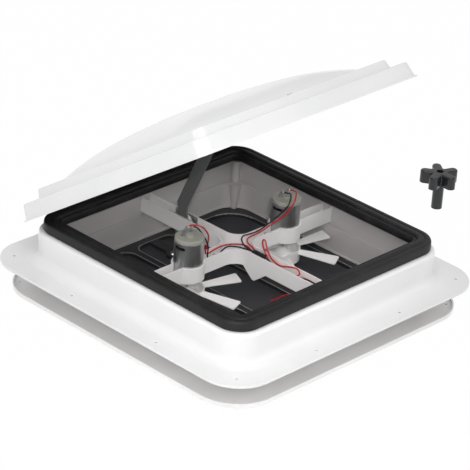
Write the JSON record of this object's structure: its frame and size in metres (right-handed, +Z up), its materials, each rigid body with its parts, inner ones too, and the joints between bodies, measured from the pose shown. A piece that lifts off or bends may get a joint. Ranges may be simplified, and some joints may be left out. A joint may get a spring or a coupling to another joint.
{
  "type": "caravan roof vent",
  "caption": "Square caravan roof vent with a crank-opened domed lid, rim seal, cross bracket with motor fans, insect screen, interior trim ring and a loose star knob.",
  "frame": {"origin": "centre of the roof opening on the roof's outer surface, which is the underside of the base flange", "axes": "+Z up out of the roof, hinge side of the lid at +Y, +X to the right seen from the front"},
  "size_m": [0.6549, 0.456, 0.3145],
  "materials": {
    "white_gloss": "glossy moulded",
    "white_satin": "semi-gloss moulded",
    "seal_foam": "matt foam rubber",
    "black_frame": "satin moulded",
    "mesh": "woven mesh",
    "can_steel": "zinc plated, satin",
    "end_bell": "beige-green moulded",
    "arm_steel": "dark grey",
    "steel": "satin",
    "brass": "plain",
    "magnet": "ferrite",
    "copper": "turned",
    "acetal": "satin",
    "red_wire": "smooth insulation",
    "black_wire": "smooth insulation",
    "knob_black": "glossy moulded"
  },
  "bodies": {
    "base": {"roof_base": "white_gloss", "rim_seal": "seal_foam", "interior_garnish": "white_satin", "screen_frame": "black_frame", "insect_screen": "mesh", "screen_clips": "black_frame", "cross_bracket": "white_satin", "bracket_screws": "steel", "hinge_screws": "steel", "hinge_pins": "steel", "operator_frame": "steel", "operator_screws": "steel", "spindle_bush": "brass", "lead_red_left": "red_wire", "lead_red_right": "red_wire", "lead_black_left": "black_wire", "lead_black_right": "black_wire", "supply_red": "red_wire", "supply_black": "black_wire", "lead_joints": "black_wire", "motor_can_left": "can_steel", "motor_bell_left": "end_bell", "motor_tabs_left": "steel", "motor_magnets_left": "magnet", "motor_brushes_left": "magnet", "motor_bushes_left": "brass", "motor_screws_left": "steel", "hinge_plate_left": "steel", "motor_can_right": "can_steel", "motor_bell_right": "end_bell", "motor_tabs_right": "steel", "motor_magnets_right": "magnet", "motor_brushes_right": "magnet", "motor_bushes_right": "brass", "motor_screws_right": "steel", "hinge_plate_right": "steel"},
    "lid": {"lid_shell": "white_gloss", "lid_seat_ring": "seal_foam", "lid_brace": "steel", "lid_rivets": "steel", "hinge_leaf_left": "steel", "hinge_leaf_right": "steel"},
    "arm": {"lift_arm": "arm_steel", "worm_wheel": "acetal", "arm_shaft": "steel", "roller_pin": "steel", "arm_rollers": "acetal"},
    "spindle": {"worm": "steel", "crank_spindle": "steel", "spindle_collars": "steel"},
    "fan_left": {"rotor_left": "steel", "commutator_left": "copper", "fan_left": "white_satin"},
    "fan_right": {"rotor_right": "steel", "commutator_right": "copper", "fan_right": "white_satin"},
    "knob": {"knob_body": "knob_black", "knob_insert": "brass", "knob_screw": "steel"}
  },
  "joints": [
    {"name": "lid_hinge", "type": "hinge", "parent": "base", "child": "lid", "pos_m": [0, 0.197, 0.035], "axis": [-1, 0, 0], "range_deg": [-34.4, 4]},
    {"name": "arm_hinge", "type": "hinge", "parent": "base", "child": "arm", "pos_m": [0, 0.093, 0.033], "axis": [-1, 0, 0], "range_deg": [-60.5, 7.5]},
    {"name": "spindle_turn", "type": "hinge", "parent": "base", "child": "spindle", "pos_m": [0.0009, 0.1059, 0], "axis": [0, 0, 1], "range_deg": [-1320, 157]},
    {"name": "fan_left_spin", "type": "hinge", "parent": "base", "child": "fan_left", "pos_m": [-0.0875, 0, 0], "axis": [0, 0, 1], "continuous": true},
    {"name": "fan_right_spin", "type": "hinge", "parent": "base", "child": "fan_right", "pos_m": [0.0875, 0, 0], "axis": [0, 0, 1], "continuous": true},
    {"name": "knob_lift", "type": "slide", "parent": "base", "child": "knob", "axis": [0, 0, 1], "range_m": [0, 0.1]}
  ],
  "couplings": [
    {"joint": "arm_hinge", "follows": "lid_hinge", "ratio": 1.7334},
    {"joint": "spindle_turn", "follows": "lid_hinge", "ratio": 38.134}
  ]
}
